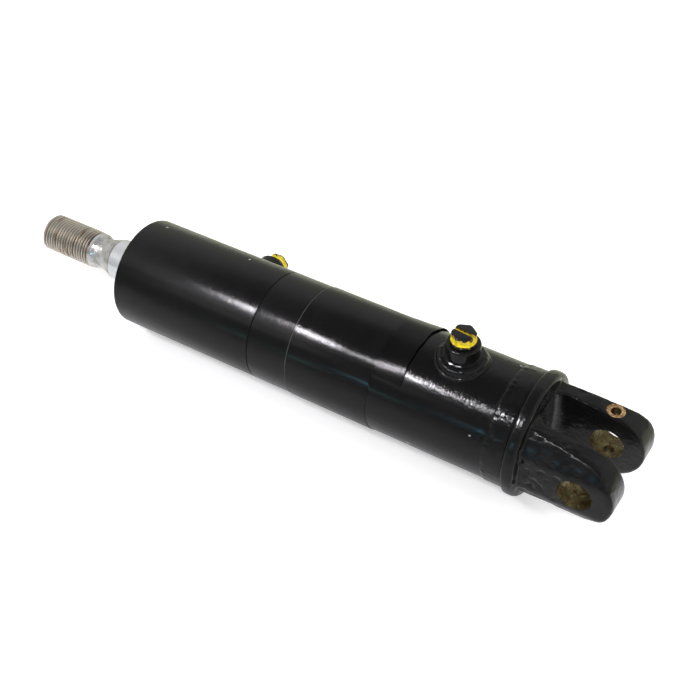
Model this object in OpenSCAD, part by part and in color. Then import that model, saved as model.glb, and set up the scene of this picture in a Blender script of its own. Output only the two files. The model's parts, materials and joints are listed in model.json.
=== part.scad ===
// Double-acting hydraulic cylinder with a welded clevis base and a threaded rod end, drawn closed.
// Frame: the origin is the centre of the clevis pin bore, +Y runs along the pin and +Z is up.
// +X points out of the clevis, so the tube and the rod lie along -X. All sizes are in millimetres.

/* [Tube] */
// Outside diameter of the tube
tube_od = 76.2; // [75:0.1:77]
// Bore of the tube
tube_bore = 63.5; // [63:0.1:64]
// Length of the tube
tube_l = 296; // [290:1:320]
// Distance from the pin to the near end of the tube
tube_gap = 49; // [49:0.5:51]

/* [Clevis] */
// Diameter of the pin bore
pin_bore_d = 22.22; // [20:0.01:24]
// Thickness of one ear
ear_t = 19; // [17:0.5:19]
// Gap between the ears
ear_gap = 29; // [27:0.5:30]
// Radius of the ears about the pin
ear_end_r = 24; // [22:0.5:25]
// Rise of an ear's edge for each millimetre towards the tube
ear_slope = 0.11; // [0:0.01:0.14]
// Diameter of the round bar that the ears are cut from
ear_bar_d = 71.6; // [71:0.1:73]
// Diameter of the collar behind the ears
collar_d = 82.4; // [80:0.1:84]
// Diameter of the hole for the bolt that keeps the pin in
bolt_hole_d = 6.6; // [6:0.1:7]

/* [Ports] */
// Distance from the pin to the base port
base_port_reach = 93.6; // [92:0.1:96]
// Distance from the pin to the head port
head_port_reach = 272.5; // [270:0.5:275]
// Turn of the head port about the tube, from straight up towards +Y
head_port_turn = 93; // [80:1:100]
// Diameter of a port boss
boss_d = 22.1; // [21:0.1:23]
// Height of a boss's face above the tube's axis
boss_top = 51.3; // [50:0.1:53]
// Diameter of the threaded hole in a boss
port_bore_d = 14.3; // [14:0.1:15]

/* [Rod] */
// Diameter of the chromed rod
rod_d = 30; // [28:0.1:30]
// Length of full-diameter rod that shows when closed
rod_showing = 25.3; // [24:0.1:30]
// Outside diameter of the rod-end thread
rod_thread_d = 27; // [24:0.1:27]
// Length of the rod-end thread
rod_thread_l = 43.3; // [30:0.1:60]
// Travel of the rod
stroke = 120; // [80:1:120]

/* [Hidden] */
$fn = 96;

// Clearances
run_gap = 0.04;   // radial, between a part that slides or turns and the part that guides it
side_gap = 0.1;   // along the axis, beside a ring in its groove
stop_gap = 0.5;   // left at each end of the travel
past = 1;         // how far a cutting shape runs past the face that it cuts

// Tube
tube_r = tube_od / 2;
bore_r = tube_bore / 2;
tube_x1 = -tube_gap;
tube_x0 = tube_x1 - tube_l;
edge_break = 0.8;
weld_bevel = 4;
score_x = tube_x1 - 183;
score_w = 0.8;
score_depth = 0.3;

// Clevis
ear_y = ear_gap / 2 + ear_t;
collar_x0 = -45;
collar_x1 = -36.5;
collar_round = 3;
collar_weld_round = 1.2;
slot_end_x = -36;
slot_round = 8;
spigot_l = 28.5;
spigot_x = tube_x1 - spigot_l;
bolt_hole_y = 21;
spot_face_r = 6.1;
spot_face_depth = 0.9;
weld_crown = 1.5;
weld_toe_l = 6.5; // how far the weld's cap runs past the bevel, along the tube

// Ports
boss_r = boss_d / 2;
port_r = port_bore_d / 2;
port_depth = 11;
oil_hole_r = 5;
port_weld_toe_r = 18.3;
port_weld_top = 44;

// Port plugs
plug_stem_l = 9.5;
plug_neck_r = 8.4;
plug_neck_h = 2.8;
plug_hex_flats = 14.3;
plug_hex_h = 5.4;
plug_slot_w = 2.2;
plug_slot_depth = 2.4;
base_plug_turn = -6;
head_plug_turn = 25;

// Blank label film
label_x0 = -201.7;
label_x1 = -140.5;
tail_x1 = -120.5;
label_t = 0.4;
tail_t0 = 0.6;
tail_t1 = 1.5;
tail_from = -50;  // turn of the tail's two ends about the tube, from straight up towards +Y
tail_to = 150;

// Rod and what it carries
rod_r = rod_d / 2;
thread_r = rod_thread_d / 2;
rod_full_x = tube_x0 - rod_showing;
flare_l = 10.7;
neck_r = 11.5;
neck_l = 3.5;
neck_taper_l = 4;
land_r = thread_r - 0.3;
land_l = 2.7;
neck_x1 = rod_full_x - flare_l;
neck_x0 = neck_x1 - neck_l;
land_x1 = neck_x0 - neck_taper_l;
thread_x1 = land_x1 - land_l;
thread_x0 = thread_x1 - rod_thread_l;
thread_chamfer = 1.3;
rod_end_x = spigot_x - stop_gap;
shank_r = 11;
nut_l = 20;
nut_flats = 32;
rod_end_past_nut = 5;
piston_l = 40;
piston_r = bore_r - 0.15;
piston_x1 = rod_end_x - rod_end_past_nut - nut_l;
piston_x0 = piston_x1 - piston_l;
stop_tube_r = 21;

// Gland
gland_l = 51;
gland_recess = 7;
gland_nose_r = 24.5;
gland_r = bore_r - 0.05;
gland_x0 = tube_x0 + gland_recess;
gland_x1 = gland_x0 + gland_l;
snap_t = 2.5;
snap_r_in = 27.6;
snap_groove_r = bore_r + 1.5;
guide_r = rod_r + 2 * run_gap;
stop_tube_x0 = gland_x1 + stroke + stop_gap;

// Grooves: [start, end, bottom radius]
wiper_groove = [tube_x0 + 2, tube_x0 + 8, rod_r + 5.5];
rod_seal_groove = [gland_x0 + 13, gland_x0 + 21.5, rod_r + 5];
gland_wear_groove = [gland_x0 + 29, gland_x0 + 41, rod_r + 2.5];
gland_o_groove = [gland_x0 + 34.5, gland_x0 + 40.5, gland_r - 3.5];
piston_seal_groove = [piston_x0 + 15.5, piston_x0 + 24.5, piston_r - 5];
piston_wear_grooves = [[piston_x0 + 3, piston_x0 + 10, piston_r - 2.4],
    [piston_x1 - 10, piston_x1 - 3, piston_r - 2.4]];
piston_o_groove = [piston_x0 + 8, piston_x0 + 11.2, shank_r + 2.2];

backup_ring_t = 1.6;
wiper_lip_l = 1.6;
wiper_lip_t = 0.8;
mouth_r = rod_r + 2.6;

// Turns a shape drawn about Z so that it is about X, with its height along +X
module along_x(x = 0) {
    translate([x, 0, 0]) rotate([0, 90, 0]) children();
}

// A solid of revolution about X; the points are [radius, x]
module turned(points) {
    along_x() rotate_extrude() polygon(points);
}

// A plain bar about X from x0 to x1
module bar(x0, x1, r) {
    along_x(x0) cylinder(h = x1 - x0, r = r);
}

// A plain ring about X from x0 to x1
module ring(x0, x1, r_out, r_in) {
    difference() {
        bar(x0, x1, r_out);
        bar(x0 - past, x1 + past, r_in);
    }
}

// The space of a groove that is open inwards to r_open
module inner_groove(groove, r_open) {
    ring(groove[0], groove[1], groove[2], r_open - past);
}

// The space of a groove that is open outwards from its bottom radius to r_open
module outer_groove(groove, r_open) {
    ring(groove[0], groove[1], r_open + past, groove[2]);
}

// A ring of round section about X
module o_ring(x, r_in, r_out) {
    along_x(x) rotate_extrude() translate([(r_in + r_out) / 2, 0]) circle(r = (r_out - r_in) / 2);
}

// Places a port's shapes, which are drawn about Z, on the tube
module at_port(reach, turn) {
    rotate([-turn, 0, 0]) translate([-reach, 0, 0]) children();
}

module at_base_port() { at_port(base_port_reach, 0) children(); }
module at_head_port() { at_port(head_port_reach, head_port_turn) children(); }

module barrel_tube() {
    color([0.06, 0.06, 0.065]) difference() {
        turned([[bore_r, tube_x0 + edge_break], [bore_r + edge_break, tube_x0],
            [tube_r - edge_break, tube_x0], [tube_r, tube_x0 + edge_break],
            [tube_r, score_x - score_w / 2], [tube_r - score_depth, score_x],
            [tube_r, score_x + score_w / 2],
            [tube_r, tube_x1 - weld_bevel], [tube_r - weld_bevel, tube_x1], [bore_r, tube_x1]]);
        ring(gland_x0 - snap_t - side_gap, gland_x0, snap_groove_r, bore_r - past);
        at_base_port() cylinder(h = tube_od, r = oil_hole_r);
        at_head_port() cylinder(h = tube_od, r = oil_hole_r);
    }
}

// Side view of an ear: a round end about the pin, with tangent edges that open towards the tube
module ear_outline() {
    tilt = atan(ear_slope);
    root_x = collar_x0 + collar_round;
    touch = [ear_end_r * sin(tilt), ear_end_r * cos(tilt)];
    root_z = ear_end_r / cos(tilt) - ear_slope * root_x;
    circle(r = ear_end_r);
    polygon([touch, [root_x, root_z], [root_x, -root_z], [touch[0], -touch[1]]]);
}

// Plan of the slot between the ears, open at its +X end
module slot_outline() {
    corner_x = slot_end_x + slot_round;
    corner_y = ear_gap / 2 - slot_round;
    translate([corner_x, -ear_gap / 2]) square([ear_end_r - corner_x + past, ear_gap]);
    translate([slot_end_x, -corner_y]) square([slot_round + past, 2 * corner_y]);
    for (side = [-1, 1]) translate([corner_x, side * corner_y]) circle(r = slot_round);
}

module base_clevis() {
    color([0.07, 0.07, 0.075]) difference() {
        union() {
            turned([[0, spigot_x], [gland_r - 1, spigot_x], [gland_r, spigot_x + 1], [gland_r, tube_x1],
                [tube_r - weld_bevel, tube_x1], [tube_r, tube_x1 + weld_bevel],
                [tube_r, collar_x0 + collar_weld_round], [0, collar_x0 + collar_weld_round]]);
            along_x() rotate_extrude() collar_section();
            intersection() {
                rotate([90, 0, 0]) linear_extrude(height = 2 * ear_y, center = true) ear_outline();
                bar(collar_x0, ear_end_r + past, ear_bar_d / 2);
            }
        }
        translate([0, 0, -tube_r]) linear_extrude(height = tube_od) slot_outline();
        rotate([90, 0, 0]) cylinder(h = 2 * ear_y + 2 * past, d = pin_bore_d, center = true);
        translate([0, bolt_hole_y, 0]) cylinder(h = tube_od, d = bolt_hole_d, center = true);
        translate([0, bolt_hole_y, ear_end_r - spot_face_depth]) cylinder(h = tube_r, r = spot_face_r);
    }
}

// Half section of the collar, in [radius, x], with both outer edges rounded
module collar_section() {
    collar_r = collar_d / 2;
    near_x = collar_x0 + collar_weld_round;
    far_x = collar_x1 - collar_round;
    translate([0, collar_x0]) square([collar_r - collar_weld_round, collar_round]);
    translate([0, near_x]) square([collar_r, far_x - near_x]);
    translate([0, far_x]) square([collar_r - collar_round, collar_round]);
    translate([collar_r - collar_weld_round, near_x]) circle(r = collar_weld_round);
    translate([collar_r - collar_round, far_x]) circle(r = collar_round);
}

// Weld in the bevelled joint, with a low cap that runs from the tube to the side of the collar
module clevis_weld() {
    toe_x = tube_x1 - weld_bevel - weld_toe_l;
    crown_r = tube_r + weld_crown;
    color([0.05, 0.05, 0.055])
        turned([[tube_r - weld_bevel, tube_x1], [tube_r, tube_x1 - weld_bevel], [tube_r, toe_x],
            [tube_r + 0.5 * weld_crown, toe_x + 0.8], [crown_r, toe_x + 3], [crown_r, collar_x0 - 1.5],
            [tube_r + 0.7 * weld_crown, collar_x0], [tube_r, collar_x0]]);
}

// Boss drawn about Z on top of the tube, with its threaded hole and the oil hole below it
module port_boss() {
    difference() {
        rotate_extrude() polygon([[0, bore_r], [boss_r, bore_r], [boss_r, boss_top - 1.2],
            [boss_r - 1.2, boss_top], [0, boss_top]]);
        bar(-boss_d, boss_d, tube_r);
        translate([0, 0, boss_top - port_depth]) cylinder(h = port_depth + past, r = port_r);
        cylinder(h = boss_top, r = oil_hole_r);
    }
}

// Fillet weld round a boss, drawn about Z
module port_weld() {
    difference() {
        rotate_extrude() polygon([[boss_r, bore_r], [port_weld_toe_r, bore_r],
            [port_weld_toe_r, tube_r - 0.9],
            [port_weld_toe_r - 1.5, tube_r + 1.5], [port_weld_toe_r - 3.3, tube_r + 3.5],
            [port_weld_toe_r - 5.3, tube_r + 5], [boss_r, port_weld_top]]);
        bar(-2 * port_weld_toe_r, 2 * port_weld_toe_r, tube_r);
    }
}

// Plastic screw plug with a hexagon head, slotted across two flats, drawn about Z
module port_plug(turn) {
    seat = boss_top + side_gap;
    hex_z = seat + plug_neck_h;
    rotate([0, 0, turn]) difference() {
        union() {
            translate([0, 0, boss_top - plug_stem_l])
                cylinder(h = plug_stem_l + side_gap, r = port_r - run_gap);
            translate([0, 0, seat]) cylinder(h = plug_neck_h, r = plug_neck_r);
            translate([0, 0, hex_z]) rotate([0, 0, 30])
                cylinder(h = plug_hex_h, d = plug_hex_flats / cos(30), $fn = 6);
        }
        translate([0, 0, hex_z + plug_hex_h])
            cube([boss_d, plug_slot_w, 2 * plug_slot_depth], center = true);
    }
}

module base_port_boss() { color([0.06, 0.06, 0.065]) at_base_port() port_boss(); }
module base_port_weld() { color([0.05, 0.05, 0.055]) at_base_port() port_weld(); }
module base_port_plug() { color([0.95, 0.86, 0.1]) at_base_port() port_plug(base_plug_turn); }
module head_port_boss() { color([0.06, 0.06, 0.065]) at_head_port() port_boss(); }
module head_port_weld() { color([0.05, 0.05, 0.055]) at_head_port() port_weld(); }
module head_port_plug() { color([0.95, 0.86, 0.1]) at_head_port() port_plug(head_plug_turn); }

module label_wrap() {
    color([0.1, 0.1, 0.105]) ring(label_x0, label_x1, tube_r + label_t, tube_r);
}

// Free end of the film, which goes part of the way round and lifts towards the clevis
module label_tail() {
    color([0.1, 0.1, 0.105]) along_x() rotate([0, 0, 180 - tail_to])
        rotate_extrude(angle = tail_to - tail_from)
            polygon([[tube_r, label_x1], [tube_r + tail_t0, label_x1], [tube_r + tail_t1, tail_x1],
                [tube_r, tail_x1]]);
}

module head_gland() {
    color([0.55, 0.56, 0.58]) difference() {
        union() {
            bar(gland_x0, gland_x1, gland_r);
            bar(tube_x0, gland_x0 + past, gland_nose_r);
        }
        bar(tube_x0 - past, gland_x1 + past, guide_r);
        bar(tube_x0 - past, wiper_groove[0] + past, mouth_r);
        inner_groove(wiper_groove, guide_r);
        inner_groove(rod_seal_groove, guide_r);
        inner_groove(gland_wear_groove, guide_r);
        outer_groove(gland_o_groove, gland_r);
    }
}

// Internal retaining ring: an open ring with two drilled lugs, its gap at the bottom
module gland_snap_ring() {
    gap_half = 12;
    lug_turn = 20;
    lug_r = 3.4;
    lug_z = snap_r_in + 0.9;
    color([0.4, 0.4, 0.42]) along_x(gland_x0 - snap_t) difference() {
        union() {
            difference() {
                cylinder(h = snap_t - side_gap, r = snap_groove_r - 0.1);
                translate([0, 0, -past]) cylinder(h = snap_t + 2 * past, r = snap_r_in + 1.5);
                translate([0, -gap_half / 2, -past]) cube([tube_od, gap_half, snap_t + 2 * past]);
            }
            for (side = [-1, 1]) rotate([0, 0, side * lug_turn]) translate([lug_z, 0, 0])
                cylinder(h = snap_t - side_gap, r = lug_r);
        }
        for (side = [-1, 1]) rotate([0, 0, side * lug_turn]) translate([lug_z - 0.6, 0, -past])
            cylinder(h = snap_t + 2 * past, r = 1.25);
    }
}

module gland_o_ring() {
    o_section = 3.4;
    color([0.03, 0.03, 0.03])
        o_ring(gland_o_groove[1] - o_section / 2 - side_gap, gland_r - o_section - 0.02, gland_r - 0.02);
}

module gland_backup_ring() {
    color([0.9, 0.9, 0.86]) ring(gland_o_groove[0] + side_gap, gland_o_groove[0] + side_gap + backup_ring_t,
        gland_r, gland_o_groove[2] + run_gap);
}

// Scraper with a lip that leans out along the rod
module rod_wiper() {
    x0 = wiper_groove[0] + side_gap;
    x1 = wiper_groove[1] - side_gap;
    r_in = rod_r + run_gap;
    r_out = wiper_groove[2] - run_gap;
    color([0.1, 0.18, 0.42]) turned([[r_in, x0 - wiper_lip_l], [r_in + wiper_lip_t, x0 - wiper_lip_l],
        [r_in + 2, x0], [r_out, x0], [r_out, x1], [r_in + 1.2, x1], [r_in + 1.2, x0 + 2.4],
        [r_in, x0 + 1]]);
}

// U-cup, open towards the oil
module rod_seal() {
    x0 = rod_seal_groove[0] + side_gap;
    x1 = rod_seal_groove[1] - side_gap;
    r_in = rod_r + run_gap;
    r_out = rod_seal_groove[2] - run_gap;
    mid = (r_in + r_out) / 2;
    color([0.1, 0.2, 0.5]) turned([[r_in, x0], [r_out, x0], [r_out, x1], [r_out - 1, x1], [mid, x0 + 3.5],
        [r_in + 1, x1], [r_in, x1]]);
}

module gland_wear_ring() {
    color([0.35, 0.2, 0.12]) ring(gland_wear_groove[0] + side_gap, gland_wear_groove[1] - side_gap,
        gland_wear_groove[2], rod_r + run_gap);
}

module piston_rod() {
    color([0.8, 0.81, 0.83]) turned([[0, thread_x0], [thread_r - thread_chamfer, thread_x0],
        [thread_r, thread_x0 + thread_chamfer], [thread_r, thread_x1], [land_r, thread_x1],
        [land_r, land_x1], [neck_r, neck_x0], [neck_r, neck_x1], [rod_r, rod_full_x], [rod_r, piston_x0],
        [shank_r, piston_x0], [shank_r, rod_end_x - 1], [shank_r - 1, rod_end_x], [0, rod_end_x]]);
}

module stop_tube() {
    color([0.5, 0.51, 0.53]) ring(stop_tube_x0, piston_x0, stop_tube_r, rod_r);
}

module piston() {
    color([0.6, 0.61, 0.63]) difference() {
        turned([[shank_r, piston_x0], [piston_r - 1.5, piston_x0], [piston_r, piston_x0 + 1.5],
            [piston_r, piston_x1 - 1.5], [piston_r - 1.5, piston_x1], [shank_r, piston_x1]]);
        outer_groove(piston_seal_groove, piston_r);
        for (groove = piston_wear_grooves) outer_groove(groove, piston_r);
        inner_groove(piston_o_groove, shank_r);
    }
}

module piston_seal() {
    color([0.12, 0.12, 0.13]) ring(piston_seal_groove[0] + side_gap, piston_seal_groove[1] - side_gap,
        bore_r - run_gap, piston_seal_groove[2] + run_gap);
}

module piston_wear_rings() {
    color([0.35, 0.2, 0.12]) for (groove = piston_wear_grooves)
        ring(groove[0] + side_gap, groove[1] - side_gap, bore_r - run_gap, groove[2] + run_gap);
}

module piston_o_ring() {
    color([0.03, 0.03, 0.03])
        o_ring((piston_o_groove[0] + piston_o_groove[1]) / 2, shank_r + 0.01, piston_o_groove[2] - 0.02);
}

module piston_nut() {
    color([0.3, 0.3, 0.32]) along_x(piston_x1) difference() {
        cylinder(h = nut_l, d = nut_flats / cos(30), $fn = 6);
        translate([0, 0, -past]) cylinder(h = nut_l + 2 * past, r = shank_r);
    }
}

barrel_tube();
base_clevis();
clevis_weld();
base_port_boss();
base_port_weld();
base_port_plug();
head_port_boss();
head_port_weld();
head_port_plug();
label_wrap();
label_tail();
head_gland();
gland_snap_ring();
gland_o_ring();
gland_backup_ring();
rod_wiper();
rod_seal();
gland_wear_ring();
piston_rod();
stop_tube();
piston();
piston_seal();
piston_wear_rings();
piston_o_ring();
piston_nut();
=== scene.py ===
import json
import math

import bmesh
import bpy
from mathutils import Matrix, Vector, noise


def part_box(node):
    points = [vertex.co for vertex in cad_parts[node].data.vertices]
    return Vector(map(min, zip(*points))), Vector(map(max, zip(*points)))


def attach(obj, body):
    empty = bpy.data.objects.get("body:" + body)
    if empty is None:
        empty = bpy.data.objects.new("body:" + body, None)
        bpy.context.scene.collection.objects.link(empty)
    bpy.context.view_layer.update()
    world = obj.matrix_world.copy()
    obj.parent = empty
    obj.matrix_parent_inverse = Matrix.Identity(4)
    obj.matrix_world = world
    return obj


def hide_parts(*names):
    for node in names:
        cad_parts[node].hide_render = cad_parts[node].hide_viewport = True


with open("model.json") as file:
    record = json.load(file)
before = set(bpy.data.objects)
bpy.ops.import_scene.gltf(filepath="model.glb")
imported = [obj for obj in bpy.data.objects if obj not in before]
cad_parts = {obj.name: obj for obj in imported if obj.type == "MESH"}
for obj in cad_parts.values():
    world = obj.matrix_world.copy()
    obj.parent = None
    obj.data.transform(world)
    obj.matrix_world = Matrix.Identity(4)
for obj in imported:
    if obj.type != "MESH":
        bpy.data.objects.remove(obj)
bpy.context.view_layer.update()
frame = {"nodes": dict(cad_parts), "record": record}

MM = 0.001
mounts = {m["name"]: m for m in frame["record"]["mounts"]}


# Sizes taken from the frame, in metres

tube_lo, tube_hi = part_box("barrel_tube")
TUBE_X0, TUBE_X1, TUBE_R = tube_lo.x, tube_hi.x, tube_hi.z
weld_lo, weld_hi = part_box("clevis_weld")
gland_lo, gland_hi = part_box("head_gland")
rod_lo, rod_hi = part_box("piston_rod")
label_lo, label_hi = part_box("label_wrap")
tail_lo, tail_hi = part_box("label_tail")
wiper_lo, wiper_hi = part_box("rod_wiper")
clevis_lo, clevis_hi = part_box("base_clevis")
boss_lo, boss_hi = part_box("base_port_boss")
port_weld_lo, port_weld_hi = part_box("base_port_weld")
plug_lo, plug_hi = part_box("base_port_plug")

PIN_R = mounts["clevis_pin_bore"]["dims"]["r_mm"] * MM
BOLT_R = mounts["retaining_bolt_hole"]["dims"]["r_mm"] * MM
BOLT_Y = mounts["retaining_bolt_hole"]["pos_m"][1]
PORT_R = mounts["base_port"]["dims"]["r_mm"] * MM
PORT_DEPTH = mounts["base_port"]["dims"]["length_mm"] * MM
THREAD_R = mounts["rod_thread"]["dims"]["r_mm"] * MM
THREAD_MID = mounts["rod_thread"]["pos_m"][0]
THREAD_END = THREAD_MID + mounts["rod_thread"]["dims"]["length_mm"] * MM / 2
ROD_R = rod_hi.z
BOSS_R = (boss_hi.x - boss_lo.x) / 2
BOSS_TOP = boss_hi.z
BORE_R = 31.75 * MM
FULL_ROD_X = TUBE_X0 - 25.3 * MM
EAR_IN, EAR_OUT = 14.5 * MM, 33.5 * MM
SCORE_REACH = 183


# Camera

def make_camera():
    azimuth, elevation, roll = math.radians(32.99), math.radians(43.2), math.radians(-1.28)
    aim = Vector((-0.1782, 0.0045, 0))
    distance = 0.8005
    right = Vector((math.cos(azimuth), math.sin(azimuth), 0))
    back = Vector((math.sin(azimuth) * math.cos(elevation), -math.cos(azimuth) * math.cos(elevation),
                   math.sin(elevation)))
    up = back.cross(right)
    turned_right = right * math.cos(roll) + up * math.sin(roll)
    turned_up = up * math.cos(roll) - right * math.sin(roll)
    data = bpy.data.cameras.new("camera")
    data.sensor_width, data.lens = 36, 62.22
    data.clip_start, data.clip_end = 0.01, 20
    camera = placed("camera", data)
    camera.matrix_world = Matrix.Translation(aim + back * distance) @ Matrix(
        (turned_right, turned_up, back)).transposed().to_4x4()
    bpy.context.scene.camera = camera


# Node helpers, for materials and for Geometry Nodes

def feed(tree, socket, value):
    """Sets an input to a plain value, or links another node's output to it."""
    if isinstance(value, bpy.types.NodeSocket):
        tree.links.new(value, socket)
    else:
        socket.default_value = value


def add_node(tree, kind, inputs=None, **settings):
    """Adds a node with its settings, and then feeds its inputs, which are given by name or number."""
    node = tree.nodes.new(kind)
    for key, value in settings.items():
        setattr(node, key, value)
    for key, value in (inputs or {}).items():
        feed(tree, node.inputs[key], value)
    return node


def arith(tree, operation, *values):
    return add_node(tree, "ShaderNodeMath", dict(enumerate(values)), operation=operation).outputs[0]


class Finish:
    """A material being made. Its calls add shader nodes, and most give back the output to use next."""

    def __init__(self, name):
        self.material = bpy.data.materials.new(name)
        self.material.use_nodes = True
        self.tree = self.material.node_tree
        self.shader = self.tree.nodes["Principled BSDF"]
        self.place = add_node(self.tree, "ShaderNodeTexCoord").outputs["Object"]

    def put(self, name, value):
        """Feeds one input of the shader."""
        feed(self.tree, self.shader.inputs[name], value)

    def noise(self, scale, detail=3, roughness=0.55, stretch=None):
        """Noise over the piece, in metres. Stretch scales it along each axis."""
        place = self.place
        if stretch:
            place = add_node(self.tree, "ShaderNodeMapping", {"Scale": stretch, "Vector": place}).outputs[0]
        return add_node(self.tree, "ShaderNodeTexNoise", {
            "Scale": scale, "Detail": detail, "Roughness": roughness, "Vector": place}).outputs["Fac"]

    def span(self, value, low, high, to_low=0.0, to_high=1.0):
        """Maps low..high of a value onto to_low..to_high, clamped."""
        return add_node(self.tree, "ShaderNodeMapRange", {
            "Value": value, "From Min": low, "From Max": high, "To Min": to_low,
            "To Max": to_high}).outputs["Result"]

    def math(self, operation, *values):
        return arith(self.tree, operation, *values)

    def add(self, a, b):
        return self.math("ADD", a, b)

    def times(self, a, b):
        return self.math("MULTIPLY", a, b)

    def mix(self, factor, a, b):
        """Mixes two colours, each a tuple or an output."""
        a, b = ((*c, 1) if isinstance(c, tuple) else c for c in (a, b))
        return add_node(self.tree, "ShaderNodeMix", {0: factor, 6: a, 7: b}, data_type="RGBA").outputs[2]

    def axis(self, number):
        """How far along X, Y or Z a point lies."""
        return add_node(self.tree, "ShaderNodeSeparateXYZ", {0: self.place}).outputs[number]

    def bump(self, *heights):
        """Chains bumps, each (height, distance in metres), into the shader's normal."""
        normal = None
        for height, distance in heights:
            inputs = {"Strength": 1, "Distance": distance, "Height": height}
            if normal is not None:
                inputs["Normal"] = normal
            normal = add_node(self.tree, "ShaderNodeBump", inputs).outputs["Normal"]
        self.put("Normal", normal)

    def specks(self, scale, size, share):
        """1 inside a few small scattered spots, else 0."""
        cells = add_node(self.tree, "ShaderNodeTexVoronoi", {"Scale": scale, "Vector": self.place})
        wobble = self.span(self.noise(scale * 5, 2), 0.3, 0.7, -size, size)
        near = self.math("LESS_THAN", self.add(cells.outputs["Distance"], wobble), size)
        colour = add_node(self.tree, "ShaderNodeSeparateXYZ", {0: cells.outputs["Color"]})
        return self.times(near, self.math("LESS_THAN", colour.outputs[0], share))


# Materials

ENAMEL_IOR = 1.45


def enamel(name, gloss=0.14, waves=0.0):
    """Gloss black enamel. Gloss is the least roughness, and waves is how much the skin waves."""
    m = Finish(name)
    cloud = m.noise(60, 4)
    dust = m.span(m.noise(110, 5, 0.65), 0.45, 0.75)
    base = m.mix(dust, (0.0032, 0.0032, 0.0035), (0.0080, 0.0080, 0.0081))
    chip = m.specks(150, 0.05, 0.006)
    m.put("Base Color", m.mix(chip, base, (0.26, 0.26, 0.25)))
    m.put("Roughness", m.add(m.span(cloud, 0.3, 0.7, gloss, gloss + 0.08), m.times(chip, 0.4)))
    m.put("IOR", ENAMEL_IOR)
    heights = [(m.noise(420, 2), 0.00005)]
    if waves:
        heights.append((m.noise(170, 3), 0.0005 * waves))
        heights.append((m.noise(330, 2), 0.00022 * waves))
    m.bump(*heights)
    return m.material


def tube_enamel():
    """The tube's gloss enamel, with fine streaks round the tube. It is a little duller towards the rod."""
    m = Finish("tube_enamel")
    along = m.axis(0)
    dull = m.span(along, TUBE_X0, TUBE_X1 - 0.1, 1, 0)
    streaks = m.noise(1150, 3, 0.6, stretch=(1, 0.16, 0.16))
    dust = m.times(dull, m.span(m.noise(130, 5, 0.7), 0.35, 0.75))
    base = m.mix(dust, (0.0030, 0.0030, 0.0034), (0.0090, 0.0090, 0.0092))
    chip = m.math("MAXIMUM", m.specks(60, 0.045, 0.9), m.specks(130, 0.060, 0.12))
    m.put("Base Color", m.mix(chip, base, (0.42, 0.42, 0.41)))
    rough = m.span(m.noise(22, 4), 0.3, 0.7, 0.07, 0.105)
    for extra in (m.span(streaks, 0.4, 0.75, 0, 0.07), m.times(dull, 0.09), m.times(chip, 0.5)):
        rough = m.add(rough, extra)
    m.put("Roughness", rough)
    m.put("IOR", ENAMEL_IOR)
    near_weld = m.span(along, TUBE_X1 - 0.085, TUBE_X1 - 0.020)
    ripple = m.times(near_weld, m.noise(520, 2, stretch=(1, 0.5, 0.5)))
    m.bump((streaks, 0.00006), (m.noise(850, 2), 0.00005), (m.noise(260, 2), 0.00005), (ripple, 0.00016))
    return m.material


def label_film(name, rough, specular):
    """Blank black film, wrapped tight. Its wrinkles run round the tube."""
    m = Finish(name)
    wrinkle = m.noise(90, 3, stretch=(1, 0.3, 0.3))
    streaks = m.noise(1150, 3, 0.6, stretch=(1, 0.16, 0.16))
    m.put("Base Color", m.mix(m.span(wrinkle, 0.35, 0.7), (0.0032, 0.0032, 0.0036), (0.0050, 0.0050, 0.0053)))
    m.put("Roughness", m.span(streaks, 0.35, 0.75, rough, rough + 0.08))
    m.put("IOR", ENAMEL_IOR)
    m.put("Specular IOR Level", specular)
    m.bump((wrinkle, 0.00012), (streaks, 0.00008), (m.noise(850, 2), 0.00005))
    return m.material


def matte(name, shade, rough):
    """A dull finish with a fine grain. In the score groove its black is painted shade; along the film's cut
    edge its grey is a painted sheen.
    """
    m = Finish(name)
    grain = m.noise(1400, 3)
    m.put("Base Color", m.mix(m.span(grain, 0.3, 0.7), tuple(0.6 * c for c in shade), shade))
    m.put("Roughness", rough)
    m.put("Specular IOR Level", 0.25)
    m.bump((grain, 0.00003))
    return m.material


def bare_bore():
    """Bored steel gone olive and brown, oily, with tool rings, rust and pits."""
    m = Finish("bare_bore")
    patches = m.noise(170, 5, 0.65)
    rust = m.span(m.noise(260, 5, 0.7), 0.47, 0.62)
    pits = m.span(m.noise(620, 3, 0.6), 0.60, 0.70)
    shade = m.mix(m.span(patches, 0.35, 0.65), (0.070, 0.058, 0.020), (0.30, 0.26, 0.13))
    shade = m.mix(rust, shade, (0.115, 0.050, 0.012))
    m.put("Base Color", m.mix(pits, shade, (0.012, 0.009, 0.005)))
    m.put("Metallic", 0.75)
    m.put("Roughness", m.span(patches, 0.3, 0.7, 0.16, 0.34))
    rings = m.noise(1500, 3, stretch=(0.08, 1, 0.08))
    m.bump((rings, 0.00010), (patches, 0.0005), (pits, -0.0003))
    return m.material


def brassy_ring():
    """Bare spot face round the bolt hole, browned."""
    m = Finish("brassy_ring")
    patches = m.noise(600, 4)
    m.put("Base Color", m.mix(m.span(patches, 0.38, 0.62), (0.15, 0.065, 0.018), (0.60, 0.42, 0.20)))
    m.put("Metallic", 0.3)
    m.put("Roughness", 0.42)
    m.bump((patches, 0.0002))
    return m.material


def chrome():
    m = Finish("hard_chrome")
    lines = m.noise(2600, 2, stretch=(1, 0.02, 0.02))
    m.put("Base Color", (0.90, 0.91, 0.93, 1))
    m.put("Metallic", 0.62)
    m.put("Roughness", m.span(lines, 0.3, 0.7, 0.13, 0.20))
    m.bump((lines, 0.000015))
    return m.material


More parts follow.
